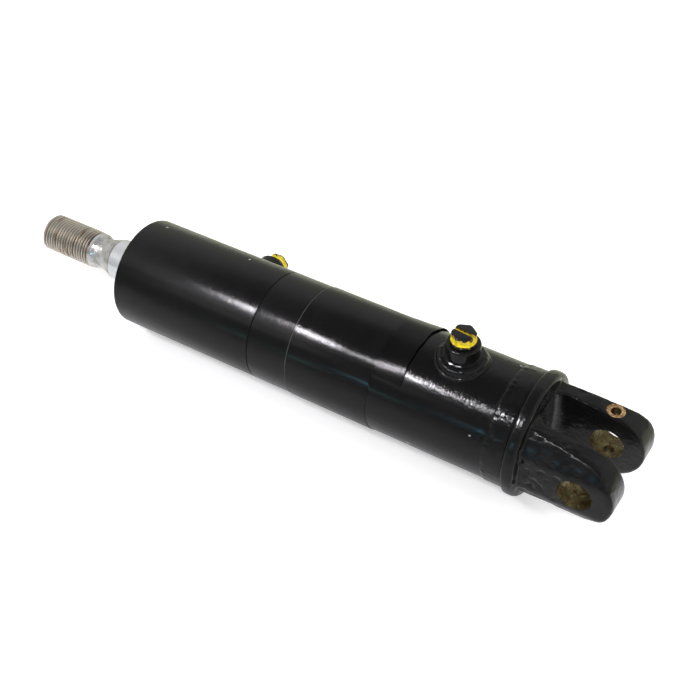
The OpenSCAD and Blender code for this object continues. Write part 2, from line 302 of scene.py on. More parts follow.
def neck_steel(land_x, edge_x):
    """Turned steel, polished up to land_x and then grey and patchy, with a thin tan line at edge_x."""
    m = Finish("neck_steel")
    along = m.axis(0)
    worn = m.span(along, land_x, land_x + 0.002)
    patches = m.noise(230, 5, 0.65)
    grit = m.noise(1100, 3, 0.7)
    patchy = m.times(worn, m.span(patches, 0.38, 0.68))
    shade = m.mix(patchy, (0.80, 0.80, 0.79), (0.44, 0.43, 0.38))
    shade = m.mix(m.span(grit, 0.66, 0.76), shade, (0.10, 0.08, 0.05))
    ragged = m.add(along, m.span(patches, 0.3, 0.7, -0.0005, 0.0005))
    off_edge = m.math("ABSOLUTE", m.math("SUBTRACT", ragged, edge_x - 0.0006))
    m.put("Base Color", m.mix(m.span(off_edge, 0.0002, 0.0010, 0.8, 0), shade, (0.22, 0.15, 0.07)))
    m.put("Metallic", 0.8)
    m.put("Roughness", m.span(m.add(worn, patchy), 0, 2, 0.13, 0.42))
    m.bump((patchy, 0.00012), (grit, 0.00004))
    return m.material


def turned_steel(name, shade, rough):
    """Lathe-turned steel with tool rings about X."""
    m = Finish(name)
    rings = m.noise(1900, 3, stretch=(1, 0.03, 0.03))
    patches = m.noise(120, 4)
    m.put("Base Color", m.mix(m.span(rings, 0.3, 0.7), tuple(0.6 * c for c in shade), shade))
    m.put("Metallic", 0.95)
    m.put("Roughness", m.span(patches, 0.3, 0.7, rough, rough + 0.15))
    m.bump((rings, 0.00008), (patches, 0.0001))
    return m.material


def thread_steel():
    """Zinc-grey thread with orange rust that follows some of the grooves. Its colour goes from bright at the
    crests to dark in the roots: painted shade in the grooves.
    """
    m = Finish("thread_steel")
    y, z = m.axis(1), m.axis(2)
    radius = m.math("SQRT", m.add(m.times(y, y), m.times(z, z)))
    height = m.span(radius, THREAD_R - 1.15 * MM, THREAD_R - 0.15 * MM)
    bands = m.noise(400, 2, 0.6, stretch=(1, 0.10, 0.10))
    grit = m.noise(900, 4, 0.7)
    # Painted shade: the colour darkens with depth into the thread's roots.
    shade = m.mix(height, (0.080, 0.060, 0.042), (0.76, 0.70, 0.61))
    shade = m.mix(m.span(grit, 0.50, 0.80, 0, 0.4), shade, (0.17, 0.15, 0.12))
    rust = m.times(m.span(bands, 0.56, 0.66), m.span(grit, 0.30, 0.5, 0.3, 0.85))
    m.put("Base Color", m.mix(rust, shade, (0.22, 0.10, 0.028)))
    m.put("Metallic", 0.8)
    m.put("Roughness", m.span(height, 0, 1, 0.5, 0.26))
    m.bump((grit, 0.00002))
    return m.material


def yellow_plastic():
    """Soft yellow plastic whose upper faces caught black overspray that is flaking off."""
    m = Finish("yellow_plastic")
    mottle = m.noise(500, 4, 0.6)
    yellow = m.mix(m.span(mottle, 0.35, 0.65), (0.62, 0.44, 0.006), (0.95, 0.82, 0.03))
    spray = add_node(m.tree, "ShaderNodeAttribute", attribute_name="overspray").outputs["Fac"]
    ragged = m.span(m.noise(520, 4, 0.7), 0.32, 0.68, -0.4, 0.4)
    covered = m.span(m.add(spray, ragged), 0.47, 0.53)
    shade = m.mix(spray, yellow, (0.42, 0.25, 0.02))
    m.put("Base Color", m.mix(covered, shade, (0.007, 0.007, 0.008)))
    m.put("Roughness", m.span(covered, 0, 1, 0.36, 0.24))
    m.put("Subsurface Weight", 0.08)
    m.put("Subsurface Radius", (0.004, 0.003, 0.001))
    m.put("Subsurface Scale", 0.3)
    m.bump((mottle, 0.00008), (covered, 0.00006))
    return m.material


def dull_solid(name, shade, rough, metallic=0.0, grain=700, relief=0.00006):
    """A plain moulded, cast or skived finish with a fine grain."""
    m = Finish(name)
    fine = m.noise(grain, 4)
    m.put("Base Color", m.mix(m.span(fine, 0.3, 0.7), tuple(0.75 * c for c in shade), shade))
    m.put("Metallic", metallic)
    m.put("Roughness", m.span(fine, 0.3, 0.7, rough - 0.06, rough + 0.08))
    m.bump((fine, relief))
    return m.material


# Mesh helpers

def rounded(corners, steps=5):
    """A closed outline from (x, r, radius) corners, in millimetres. Each corner is an arc of its radius."""
    points = []
    count = len(corners)
    for i, (x, r, radius) in enumerate(corners):
        here = Vector((x, r))
        to_last = (Vector(corners[i - 1][:2]) - here).normalized()
        to_next = (Vector(corners[(i + 1) % count][:2]) - here).normalized()
        if radius <= 0:
            points.append(here)
            continue
        half = to_last.angle(to_next) / 2
        reach = radius / math.tan(half)
        centre = here + (to_last + to_next).normalized() * (radius / math.sin(half))
        start = here + to_last * reach - centre
        turn = -(math.pi - 2 * half) if to_last.cross(to_next) > 0 else math.pi - 2 * half
        for k in range(steps + 1):
            a = turn * k / steps
            points.append(centre + Vector((start.x * math.cos(a) - start.y * math.sin(a),
                                           start.x * math.sin(a) + start.y * math.cos(a))))
    return points


def placed(name, data):
    """An object for a mesh, light or camera, linked to the scene."""
    thing = bpy.data.objects.new(name, data)
    bpy.context.collection.objects.link(thing)
    return thing


def mesh_of(bm, name):
    """Writes a BMesh out as a named mesh and frees it."""
    mesh = bpy.data.meshes.new(name)
    bm.to_mesh(mesh)
    bm.free()
    return mesh


def skin(bm, rings, closed):
    """Adds faces from each ring of points to the next, and from the last back to the first if closed."""
    for here, there in zip(rings, rings[1:] + rings[:1] if closed else rings[1:]):
        for j in range(len(here)):
            n = (j + 1) % len(here)
            bm.faces.new((here[j], here[n], there[n], there[j]))


def smooth_shading(mesh, sharp_from):
    """Smooth shading, except over edges sharper than so many degrees."""
    mesh.shade_smooth()
    mesh.set_sharp_from_angle(angle=math.radians(sharp_from))


def new_piece(name, mesh, materials):
    """Links a piece for a finished mesh, and smooths its shading between its sharp edges."""
    for material in materials:
        mesh.materials.append(material)
    smooth_shading(mesh, 32)
    return placed(name, mesh)


def lathe_mesh(name, outline, segments=240):
    """Turns a closed outline of (x, r) points, in millimetres, about X."""
    bm = bmesh.new()
    rings = []
    for k in range(segments):
        a = 2 * math.pi * k / segments
        rings.append([bm.verts.new((x * MM, r * MM * math.sin(a), r * MM * math.cos(a)))
                      for x, r in outline])
    skin(bm, rings, closed=True)
    bmesh.ops.remove_doubles(bm, verts=bm.verts, dist=1e-7)
    bmesh.ops.dissolve_degenerate(bm, edges=bm.edges, dist=1e-8)
    axis_wire = [e for e in bm.edges if not e.link_faces]
    bmesh.ops.delete(bm, geom=axis_wire, context="EDGES")
    bmesh.ops.recalc_face_normals(bm, faces=bm.faces)
    return mesh_of(bm, name)


def baked(piece):
    """The piece's mesh with its modifiers applied."""
    graph = bpy.context.evaluated_depsgraph_get()
    mesh = bpy.data.meshes.new_from_object(piece.evaluated_get(graph))
    piece.modifiers.clear()
    return mesh


def with_modifier(piece, kind, **settings):
    """Adds one modifier, bakes it into the piece's mesh and removes it."""
    modifier = piece.modifiers.new(kind.lower(), kind)
    for key, value in settings.items():
        setattr(modifier, key, value)
    piece.data = baked(piece)


def cylinder_cutter(name, r, length, matrix, material, segments=128):
    bm = bmesh.new()
    bmesh.ops.create_cone(bm, cap_ends=True, segments=segments, radius1=r, radius2=r, depth=length)
    mesh = mesh_of(bm, name)
    mesh.transform(matrix)
    mesh.materials.append(material)
    return placed(name, mesh)


def cut(piece, cutter):
    with_modifier(piece, "BOOLEAN", operation="DIFFERENCE", solver="EXACT", object=cutter,
                  material_mode="TRANSFER")
    bpy.data.objects.remove(cutter)


def merge_points(mesh):
    """Closes the hairline gaps that a cut can leave."""
    bm = bmesh.new()
    bm.from_mesh(mesh)
    bmesh.ops.remove_doubles(bm, verts=bm.verts, dist=2e-6)
    bm.to_mesh(mesh)
    bm.free()


def port_matrix(mount_name):
    """Takes a shape drawn about Z above the tube's axis to its port."""
    mount = mounts[mount_name]
    _, y, z = mount["axis"]
    return Matrix.Rotation(-math.atan2(y, z), 4, "X") @ Matrix.Translation((mount["pos_m"][0], 0, 0))


def cad_copy(node):
    """A merged copy of a CAD node's mesh."""
    bm = bmesh.new()
    bm.from_mesh(frame["nodes"][node].data)
    bmesh.ops.remove_doubles(bm, verts=bm.verts, dist=1e-6)
    return mesh_of(bm, node)


def clamp(value):
    """The value, held between 0 and 1."""
    return min(1, max(0, value))


def finish_piece(piece, body, slot, *nodes):
    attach(piece, body)
    if nodes:
        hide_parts(*nodes)


# Tube

def make_tube(paint):
    x0, x1, r, bore = TUBE_X0 / MM, TUBE_X1 / MM, TUBE_R / MM, BORE_R / MM
    score_x, score_w, score_depth = x1 - SCORE_REACH, 0.8, 0.5
    snap_x1 = x0 + 7
    snap_x0, snap_r = snap_x1 - 2.6, bore + 1.5
    bevel = 4
    outline = rounded([
        (x0, bore + 0.7, 0.2), (x0, r, 1.1),
        (score_x - score_w / 2, r, 0.08), (score_x, r - score_depth, 0.1), (score_x + score_w / 2, r, 0.08),
        (x1 - bevel, r, 0), (x1, r - bevel, 0), (x1, bore, 0),
        (snap_x1, bore, 0.1), (snap_x1, snap_r, 0.2), (snap_x0, snap_r, 0.2), (snap_x0, bore, 0.1),
        (x0 + 0.7, bore, 0.2)])
    tube = new_piece("tube_shell", lathe_mesh("tube_shell", outline, 288), [paint, turned_bore, groove_shade_black])
    for port in ("base_port", "head_port"):
        matrix = port_matrix(port) @ Matrix.Translation((0, 0, TUBE_R))
        cut(tube, cylinder_cutter("oil_hole", 5 * MM, 30 * MM, matrix, turned_bore, 64))
    for face in tube.data.polygons:
        c = face.center
        out = math.hypot(c.y, c.z)
        # The score groove's faces take the dull black finish: painted shade, so the groove reads as a dark
        # line.
        if abs(c.x / MM - score_x) < score_w / 2 and BORE_R + 0.002 < out < TUBE_R - 0.00008:
            face.material_index = 2
        elif out < BORE_R + 0.0004 or face.material_index > 0:
            face.material_index = 1
    finish_piece(tube, "barrel", "black_paint", "barrel_tube")


# Clevis

def make_clevis(paint, bore_finish, ring_finish):
    """The casting: the CAD shape with its edges softened and its as-cast faces roughened, then bored."""
    mesh = cad_copy("base_clevis")
    filler = 0.0004
    along_y = Matrix.Rotation(math.pi / 2, 4, "X")
    bm = bmesh.new()
    bm.from_mesh(mesh)
    for side in (-1, 1):
        at_ear = Matrix.Translation((0, side * (EAR_IN + EAR_OUT) / 2, 0)) @ along_y
        bmesh.ops.create_cone(bm, cap_ends=True, segments=64, radius1=PIN_R + filler,
                              radius2=PIN_R + filler, depth=EAR_OUT - EAR_IN, matrix=at_ear)
    bmesh.ops.create_cone(bm, cap_ends=True, segments=48, radius1=BOLT_R + filler, radius2=BOLT_R + filler,
                          depth=46.8 * MM, matrix=Matrix.Translation((0, BOLT_Y, -0.0002)))
    bm.to_mesh(mesh)
    bm.free()
    clevis = new_piece("clevis_casting", mesh, [paint, bore_finish, ring_finish])
    with_modifier(clevis, "REMESH", mode="VOXEL", voxel_size=0.75 * MM)
    with_modifier(clevis, "SMOOTH", factor=0.5, iterations=5)
    soften_ends(clevis)
    roughen_casting(clevis.data)
    spot_depth, spot_height, through = 0.0010, 0.01, 0.08
    at_bolt = Matrix.Translation((0, BOLT_Y, 0))
    at_spot = Matrix.Translation((0, BOLT_Y, clevis_hi.x - spot_depth + spot_height / 2))
    cut(clevis, cylinder_cutter("pin_bore", PIN_R, through, along_y, bore_finish))
    cut(clevis, cylinder_cutter("spot_face", 5.8 * MM, spot_height, at_spot, ring_finish, 64))
    cut(clevis, cylinder_cutter("bolt_hole", BOLT_R, through, at_bolt, bore_finish, 64))
    smooth_shading(clevis.data, 38)
    finish_piece(clevis, "barrel", "black_paint", "base_clevis")


def soften_ends(clevis):
    """Wears the outer edges of the ears' round ends down to a broad radius."""
    group = clevis.vertex_groups.new(name="ends")
    for vertex in clevis.data.vertices:
        p = vertex.co
        out = clamp((abs(p.y) - 0.020) / 0.007)
        along = clamp((p.x + 0.006) / 0.014)
        group.add([vertex.index], out * max(along, 0.3), "REPLACE")
    with_modifier(clevis, "SMOOTH", factor=0.5, iterations=55, vertex_group="ends")
    clevis.vertex_groups.clear()


def roughen_casting(mesh):
    """Soft waves all over the ears, and dents and a ragged edge on the outer cheeks near the collar."""
    mesh.update()
    moved = []
    for vertex in mesh.vertices:
        p, n = vertex.co, vertex.normal
        if p.x < -0.037:
            moved.append(p.copy())
            continue
        outer = clamp((abs(p.y) - 0.018) / 0.006)
        near_collar = clamp((0.004 - p.x) / 0.02)
        edge = clamp((abs(p.z) - 0.0205) / 0.002) * clamp(abs(n.y) / 0.4)
        wave = noise.noise(p * 70) * 0.00016
        lump = noise.fractal(p * 190, 1.0, 2.1, 2) * 0.00020 * outer
        dent = min(0, noise.noise(p * 210 + Vector((5, 1, 3))) + 0.12) * 0.0016 * outer * near_collar
        ragged = noise.noise(p * 300 + Vector((2, 9, 4))) * 0.00022 * edge * outer
        moved.append(p + n * (wave + lump + dent * (1 - edge) + ragged))
    for vertex, p in zip(mesh.vertices, moved):
        p.x = min(p.x, clevis_hi.x)
        vertex.co = p
    mesh.update()


# Welds, by Geometry Nodes

def growing_tree(name, sockets):
    """A Geometry Nodes tree that takes the named inputs, each with its default, and gives one geometry."""
    tree = bpy.data.node_groups.new(name, "GeometryNodeTree")
    kinds = {float: "NodeSocketFloat", int: "NodeSocketInt", tuple: "NodeSocketVector"}
    for label, default in sockets.items():
        socket = tree.interface.new_socket(label, in_out="INPUT", socket_type=kinds[type(default)])
        socket.default_value = default
    tree.interface.new_socket("Geometry", in_out="OUTPUT", socket_type="NodeSocketGeometry")
    return tree, tree.nodes.new("NodeGroupInput").outputs


def finish_tree(tree, geometry, material):
    painted = add_node(tree, "GeometryNodeSetMaterial", {"Geometry": geometry, "Material": material})
    tree.links.new(painted.outputs[0], tree.nodes.new("NodeGroupOutput").inputs[0])
    return tree


def weld_tree():
    """Overlapping beads along a ring that can be draped over a tube."""
    tree, given = growing_tree("weld_beads", {
        "Path Radius": 0.015, "Saddle Radius": 0.04, "Saddle": 1.0, "Beads": 60,
        "Bead Size": (0.003, 0.003, 0.002), "Tilt": 0.0, "Seed": 1})
    circle = add_node(tree, "GeometryNodeCurvePrimitiveCircle", {
        "Resolution": given["Beads"], "Radius": given["Path Radius"]})
    position = add_node(tree, "GeometryNodeInputPosition").outputs[0]
    y = add_node(tree, "ShaderNodeSeparateXYZ", {0: position}).outputs["Y"]
    r = given["Saddle Radius"]
    inside = arith(tree, "SUBTRACT", arith(tree, "MULTIPLY", r, r), arith(tree, "MULTIPLY", y, y))
    height = arith(tree, "MULTIPLY", arith(tree, "SQRT", inside), given["Saddle"])
    offset = add_node(tree, "ShaderNodeCombineXYZ", {"Z": height}).outputs[0]
    lifted = add_node(tree, "GeometryNodeSetPosition", {
        "Geometry": circle.outputs["Curve"], "Offset": offset})

    bead = add_node(tree, "GeometryNodeMeshIcoSphere", {"Subdivisions": 3, "Radius": 1})
    tangent = add_node(tree, "GeometryNodeInputTangent").outputs[0]
    facing = add_node(tree, "FunctionNodeAlignRotationToVector", {"Vector": tangent}, axis="X").outputs[0]
    tilt = add_node(tree, "ShaderNodeCombineXYZ", {"X": given["Tilt"]}).outputs[0]
    turned = add_node(tree, "FunctionNodeRotateRotation", {0: facing, 1: tilt}, rotation_space="LOCAL")
    vary = add_node(tree, "FunctionNodeRandomValue", {2: 0.92, 3: 1.08, "Seed": given["Seed"]},
                    data_type="FLOAT")
    size = add_node(tree, "ShaderNodeVectorMath", {0: given["Bead Size"], "Scale": vary.outputs[1]},
                    operation="SCALE")
    stamped = add_node(tree, "GeometryNodeInstanceOnPoints", {
        "Points": lifted.outputs[0], "Instance": bead.outputs["Mesh"], "Rotation": turned.outputs[0],
        "Scale": size.outputs[0]})
    real = add_node(tree, "GeometryNodeRealizeInstances", {0: stamped.outputs[0]})
    return finish_tree(tree, real.outputs[0], weld_paint)


def grown(tree, name, values):
    """Runs a Geometry Nodes tree with the given inputs and returns the plain mesh."""
    holder = placed(name, bpy.data.meshes.new(name))
    modifier = holder.modifiers.new(name, "NODES")
    modifier.node_group = tree
    for item in tree.interface.items_tree:
        if item.in_out == "INPUT" and item.name in values:
            modifier[item.identifier] = values[item.name]
    mesh = baked(holder)
    bpy.data.objects.remove(holder)
    return mesh


def fused(name, meshes, voxel, smoothing, materials):
    """Fuses overlapping closed meshes into one skin."""
    bm = bmesh.new()
    for mesh in meshes:
        bm.from_mesh(mesh)
    piece = new_piece(name, mesh_of(bm, name), materials)
    with_modifier(piece, "REMESH", mode="VOXEL", voxel_size=voxel)
    with_modifier(piece, "SMOOTH", factor=0.5, iterations=smoothing)
    piece.data.shade_smooth()
    return piece


def make_girth_weld(tree):
    """Three runs of fine beads side by side, over a low core."""
    width = weld_hi.x - weld_lo.x
    crown, bead_length, bead_height, bead_width = 0.0006, 0.0034, 0.0027, 0.0036
    layers = []
    for run, share in enumerate((0.17, 0.49, 0.81)):
        beads = grown(tree, "girth_beads", {
            "Path Radius": TUBE_R + crown - bead_height, "Saddle": 0.0, "Beads": 130,
            "Bead Size": Vector((bead_length, bead_height, bead_width)), "Seed": 4 + run})
        turn = Matrix.Rotation(math.radians(0.8 * run), 4, "X") @ Matrix.Rotation(math.pi / 2, 4, "Y")
        beads.transform(Matrix.Translation((weld_lo.x + share * width, 0, 0)) @ turn)
        layers.append(beads)
    x0, x1, r = weld_lo.x / MM, weld_hi.x / MM, TUBE_R / MM
    layers.append(lathe_mesh("weld_core", [
        (x0 - 0.6, r - 1), (x0 - 0.3, r + 0.02), (x0 + 1.6, r + 0.2), (x0 + 4, r + 0.5), (x1 - 2, r + 0.6),
        (x1 - 0.2, r + 0.3), (x1 + 0.2, r - 1), ((x0 + x1) / 2, r - 3.4)]))
    weld = fused("girth_weld", layers, 0.45 * MM, 5, [weld_paint])
    finish_piece(weld, "barrel", "black_paint", "clevis_weld")


def make_port_weld(tree, port, node, name, seed):
    """Fillet between a boss and the tube: a steep outer side with a shoulder, rippled round the boss."""
    toe = (port_weld_hi.x - port_weld_lo.x) / 2
    beads = grown(tree, name, {
        "Path Radius": BOSS_R + 0.0018, "Saddle Radius": TUBE_R + 0.0014, "Saddle": 1.0, "Beads": 52,
        "Bead Size": Vector((0.0030, 0.0034, 0.0030)), "Tilt": 0.35, "Seed": seed})
    skirt = saddle_ring(BOSS_R - 0.001, toe, TUBE_R)
    weld = fused(name, [beads, skirt], 0.42 * MM, 4, [boss_paint])
    weld.data.transform(port_matrix(port))
    finish_piece(weld, "barrel", "black_paint", node)


def saddle_ring(inner, toe, tube_r, segments=96):
    """A ring that hugs the tube, from the boss out to the weld's toe, drawn about Z."""
    section = [(toe, -0.0012), (toe, 0.0005), (toe - 0.0005, 0.0010), (toe - 0.0028, 0.0018),
               (toe - 0.0045, 0.0038), (inner, 0.0056), (inner, -0.0012)]
    bm = bmesh.new()
    rings = []
    for k in range(segments):
        a = 2 * math.pi * k / segments
        ring = []
        for r, rise in section:
            y = r * math.sin(a)
            ring.append(bm.verts.new((r * math.cos(a), y, math.sqrt(tube_r ** 2 - y ** 2) + rise)))
        rings.append(ring)
    skin(bm, rings, closed=True)
    bmesh.ops.recalc_face_normals(bm, faces=bm.faces)
    return mesh_of(bm, "skirt")


# Ports

def turned_about_z(mesh):
    """Takes a lathe mesh from the X axis to the Z axis."""
    mesh.transform(Matrix.Rotation(-math.pi / 2, 4, "Y"))
    return mesh


def make_boss(port, node, name, paint):
    top, r = BOSS_TOP / MM, BOSS_R / MM
    port_r, depth = PORT_R / MM, PORT_DEPTH / MM
    outline = rounded([
        (34.5, 5, 0), (34.5, r, 0), (top, r, 1.5), (top, port_r + 0.7, 0.2), (top - 0.7, port_r, 0.2),
        (top - depth, port_r, 0.3), (top - depth, 5, 0.2)], 6)
    mesh = turned_about_z(lathe_mesh(name, outline, 128))
    mesh.transform(port_matrix(port))
    boss = new_piece(name, mesh, [paint, turned_bore])
    axis = Vector(mounts[port]["axis"])
    middle = Vector((mounts[port]["pos_m"][0], 0, 0))
    for face in boss.data.polygons:
        out = face.center - middle
        if (out - axis * out.dot(axis)).length < PORT_R + 0.0001:
            face.material_index = 1
    finish_piece(boss, "barrel", "black_paint", node)


def hex_radius(angle, flats, corner):
    """Distance from the centre to a hexagon's side, with rounded corners, in a direction."""
    step = math.pi / 3
    off = (angle + step / 2) % step - step / 2
    straight = flats / 2 / math.cos(off)
    return min(straight, corner)


def make_plug(port, node, name, turn, body, finish):
    """Screw plug: a stem with a coarse thread, a round neck and a hexagon head slotted across two flats."""
    lo, hi = plug_lo.z / MM, plug_hi.z / MM
    neck_r, neck_h, flats = 8.4, 2.8, 14.3
    corner_r = flats / 2 / math.cos(math.pi / 6) - 0.35
    seat = BOSS_TOP / MM + 0.1
    hex_z = seat + neck_h
    stem_r = PORT_R / MM - 0.04
    levels = [(lo, stem_r - 1.4, 0), (lo + 0.8, stem_r - 0.8, 0)]
    pitch, z = 1.4, lo + 1.2
    while z + pitch < seat - 0.6:
        levels += [(z, stem_r - 0.75, 0), (z + 0.35 * pitch, stem_r, 0), (z + 0.5 * pitch, stem_r, 0),
                   (z + 0.85 * pitch, stem_r - 0.75, 0)]
        z += pitch
    levels += [(seat, stem_r - 0.75, 0), (seat, neck_r - 0.5, 0), (seat + 0.15, neck_r - 0.15, 0),
               (seat + 0.5, neck_r, 0), (hex_z - 0.9, neck_r, 0), (hex_z - 0.5, neck_r - 0.12, 0),
               (hex_z - 0.3, neck_r - 0.5, 0), (hex_z - 0.2, corner_r - 0.25, 1), (hex_z + 0.15, corner_r, 1),
               (hi - 0.9, corner_r, 1), (hi - 0.35, corner_r - 0.35, 1), (hi - 0.1, corner_r - 0.8, 1),
               (hi, corner_r - 1.4, 1)]
    segments = 144
    bm = bmesh.new()
    rings = []
    for z, r, is_hex in levels:
        ring = []
        for k in range(segments):
            a = 2 * math.pi * k / segments
            reach = min(r, hex_radius(a, flats - 2 * max(0, corner_r - r) * 0.6, r)) if is_hex else r
            ring.append(bm.verts.new((reach * MM * math.cos(a), reach * MM * math.sin(a), z * MM)))
        rings.append(ring)
    skin(bm, rings, closed=False)
    for ring, z in ((rings[0], lo), (rings[-1], hi)):
        middle = bm.verts.new((0, 0, z * MM))
        for k in range(segments):
            bm.faces.new((ring[k], ring[(k + 1) % segments], middle))
    bmesh.ops.recalc_face_normals(bm, faces=bm.faces)
    plug = new_piece(name, mesh_of(bm, name), [finish])
    bm = bmesh.new()
    bmesh.ops.create_cube(bm, size=1)
    bmesh.ops.bevel(bm, geom=list(bm.edges), offset=0.06, segments=2, affect="EDGES")
    cutter_mesh = mesh_of(bm, "slot")
    slot_w, slot_depth = 2.2, 2.4
    cutter_mesh.transform(Matrix.Translation((0, 0, hi * MM)) @ Matrix.Diagonal(
        (24 * MM, slot_w * MM, 2 * slot_depth * MM, 1)))
    cutter_mesh.materials.append(finish)
    cut(plug, placed("slot", cutter_mesh))
    merge_points(plug.data)
    paint_overspray(plug.data, hi * MM, slot_w * MM / 2, hex_z * MM, seat * MM)
    plug.data.transform(port_matrix(port) @ Matrix.Rotation(math.radians(turn), 4, "Z"))
    smooth_shading(plug.data, 32)
    finish_piece(plug, body, "yellow_plastic", node)


def paint_overspray(mesh, top, slot_half, hex_z, seat):
    """How much black overspray each point took: the top and the neck most, the slot and flats least."""
    layer = mesh.attributes.new("overspray", "FLOAT", "POINT")
    for vertex in mesh.vertices:
        p = vertex.co
        in_slot = abs(p.y) < slot_half + 0.00005 and p.z < top - 0.0003
        if p.z > hex_z - 0.0004:
            amount = 0.12 if in_slot else clamp(0.95 - (top - p.z) / 0.0024)
        elif p.z > seat - 0.0002:
            amount = 0.84
        else:
            amount = 0.0
        layer.data[vertex.index].value = amount


# Rod

def thread_tree():
    """A ridge swept along a helix about Z, at its full height from end to end."""
    tree, given = growing_tree("screw_thread", {
        "Core Radius": 0.012, "Pitch": 0.0024, "Turns": 17.0, "Ridge": 0.0014, "Steps per Turn": 72})
    core, pitch, ridge = given["Core Radius"], given["Pitch"], given["Ridge"]
    spiral = add_node(tree, "GeometryNodeCurveSpiral", {
        "Resolution": given["Steps per Turn"], "Rotations": given["Turns"], "Start Radius": core,
        "End Radius": core, "Height": arith(tree, "MULTIPLY", pitch, given["Turns"])})
    upright = add_node(tree, "GeometryNodeSetCurveNormal", {0: spiral.outputs[0]}, mode="Z_UP")
    section = add_node(tree, "GeometryNodeCurvePrimitiveQuadrilateral", {
        "Bottom Width": arith(tree, "MULTIPLY", pitch, 0.90),
        "Top Width": arith(tree, "MULTIPLY", pitch, 0.30),
        "Height": ridge, "Offset": 0}, mode="TRAPEZOID")
    lift = add_node(tree, "ShaderNodeCombineXYZ", {"X": arith(tree, "MULTIPLY", ridge, -0.5)})
    stand = add_node(tree, "GeometryNodeTransform", {
        "Geometry": section.outputs[0], "Rotation": (0, 0, math.pi / 2), "Translation": lift.outputs[0]})
    swept = add_node(tree, "GeometryNodeCurveToMesh", {
        "Curve": upright.outputs[0], "Profile Curve": stand.outputs[0], "Fill Caps": True})
    return finish_tree(tree, swept.outputs[0], thread_metal)


def make_rod(chrome_finish, neck_finish):
    """Chromed rod with a flared neck, a short bright land and a threaded end."""
    end, r, shank = rod_hi.x / MM, ROD_R / MM, 11
    full_x = FULL_ROD_X / MM
    neck_x1, neck_r = full_x - 10.7, 11.5
    neck_x0 = neck_x1 - 3.5
    land_x1, land_r = neck_x0 - 4, THREAD_R / MM - 0.3
    thread_x0, thread_x1 = rod_lo.x / MM, THREAD_END / MM
    shoulder_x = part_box("piston")[0].x / MM
    ridge, pitch = 1.3, 2.41
    core = THREAD_R / MM - ridge
    outline = rounded([
        (thread_x0, 0, 0), (thread_x0, core - 0.3, 0.5), (thread_x0 + 1.2, core, 0.3),
        (thread_x1 - 0.2, core, 0), (thread_x1 - 0.2, land_r, 0.2), (land_x1, land_r, 1.2),
        (neck_x0, neck_r, 1.6), (neck_x1, neck_r, 2.5), (full_x, r, 0.4), (shoulder_x, r, 0.2),
        (shoulder_x, shank, 0.2), (end - 1, shank, 0.2), (end, shank - 1, 0.2), (end, 0, 0)])
    rod = new_piece("rod_body", lathe_mesh("rod_body", outline, 192),
                    [chrome_finish, neck_finish, thread_metal])
    for face in rod.data.polygons:
        x = face.center.x / MM
        if x < thread_x0 + 0.02:
            face.material_index = 1
        elif x < thread_x1 - 0.1:
            face.material_index = 2
        elif x < full_x - 0.2 or x > shoulder_x:
            face.material_index = 1
    finish_piece(rod, "rod", "rod_chrome", "piston_rod")

    first = thread_x0 + 0.46 * pitch
    mesh = grown(thread_tree(), "rod_thread", {
        "Core Radius": (core - 0.03) * MM, "Pitch": pitch * MM, "Turns": (thread_x1 - 0.3 - first) / pitch,
        "Ridge": (ridge + 0.03) * MM, "Steps per Turn": 72})
    mesh.transform(Matrix.Translation((first * MM, 0, 0)) @ Matrix.Rotation(math.pi / 2, 4, "Y"))
    finish_piece(new_piece("rod_thread", mesh, []), "rod", "rod_chrome")


# Label film

def make_label(film, cut_edge_sheen):
    """The film's last turn. A narrow dull grey band along its cut edge on the rod's side is a painted sheen:
    it stands in for the edge's lip catching light.
    """
    x0, x1, r = label_lo.x / MM, label_hi.x / MM, TUBE_R / MM
    thick, band = label_hi.z / MM - r, 0.55
    outline = rounded([
        (x0, r - 0.02, 0), (x0, r + thick, 0.1), (x0 + band, r + thick, 0), (x1, r + thick, 0.15),
        (x1, r - 0.02, 0)], 3)
    wrap = new_piece("label_wrap_film", lathe_mesh("label_wrap_film", outline, 288), [film, cut_edge_sheen])
    for face in wrap.data.polygons:
        if face.center.x / MM < x0 + band:
            face.material_index = 1
    finish_piece(wrap, "barrel", "black_film", "label_wrap")


def make_label_tail(film):
    """The film's free end. Its clevis edge lifts off the tube, most at the top."""
    first, last = math.radians(-50), math.radians(150)
    x0, x1 = tail_lo.x, tail_hi.x
    thick = 0.0004
    rows, columns = 120, 12
    bm = bmesh.new()
    grid = []
    for i in range(rows + 1):
        a = first + (last - first) * i / rows
        share = i / rows
        lift = 0.00060 * min(1, share / 0.12) * min(1, (1 - share) / 0.3) ** 0.5 + 0.00012
        wobble = 0.00016 * noise.noise(Vector((share * 9, 2.1, 0.3)))
        column = []
        for j in range(columns + 1):
            t = j / columns
            stray = 0.0007 * noise.noise(Vector((share * 14, 7, 1))) if j == columns else 0
            x = x0 + (x1 - x0) * t + stray
            r = TUBE_R + 0.0003 + (lift + wobble) * t ** 1.6
            column.append((x, a, r))
        grid.append(column)
    layers = []
    for offset in (0, thick):
        layers.append([[bm.verts.new((x, (r + offset) * math.sin(a), (r + offset) * math.cos(a)))
                        for x, a, r in column] for column in grid])
    inner, outer = layers
    for i in range(rows):
        for j in range(columns):
            for layer in layers:
                bm.faces.new((layer[i][j], layer[i + 1][j], layer[i + 1][j + 1], layer[i][j + 1]))
    for i in range(rows):
        for j in (0, columns):
            bm.faces.new((inner[i][j], inner[i + 1][j], outer[i + 1][j], outer[i][j]))
    for j in range(columns):
        for i in (0, rows):
            bm.faces.new((inner[i][j], inner[i][j + 1], outer[i][j + 1], outer[i][j]))
    bmesh.ops.recalc_face_normals(bm, faces=bm.faces)
    tail = new_piece("label_tail_film", mesh_of(bm, "label_tail_film"), [film])
    finish_piece(tail, "barrel", "black_film", "label_tail")


# Gland end

